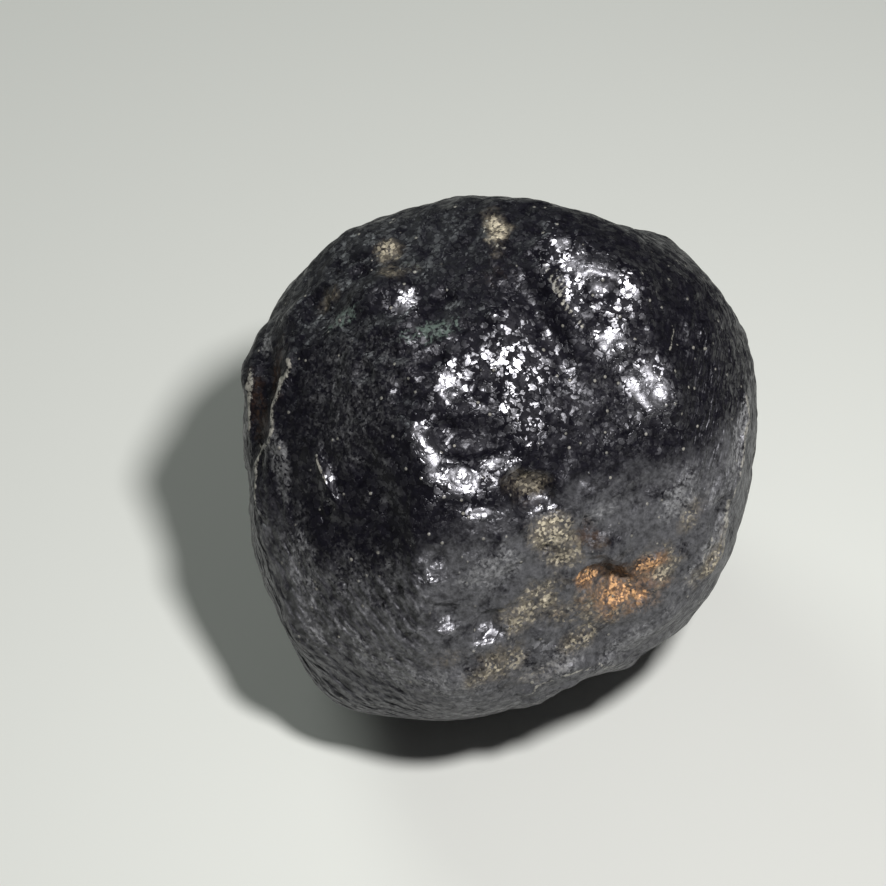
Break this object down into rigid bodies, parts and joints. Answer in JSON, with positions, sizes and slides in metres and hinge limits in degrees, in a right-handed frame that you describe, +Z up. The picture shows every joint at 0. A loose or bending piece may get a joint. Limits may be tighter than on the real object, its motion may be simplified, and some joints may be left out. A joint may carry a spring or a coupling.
{
  "type": "tarnished native silver nodule",
  "caption": "Rounded, naturally formed nodule of native silver under a black pitchy tarnish, with thumbprint hollows, pits and low ridges; rests on a small flat patch.",
  "frame": {"origin": "on the ground, under the middle of the nodule's box", "axes": "+Z up from the flat patch it rests on; -Y towards the side seen in the picture; +X to that side's right"},
  "size_m": [0.0478, 0.0508, 0.0459],
  "materials": {
    "tarnished_silver": "satin"
  },
  "bodies": {
    "root": {"silver_nodule": "tarnished_silver"}
  },
  "joints": []
}
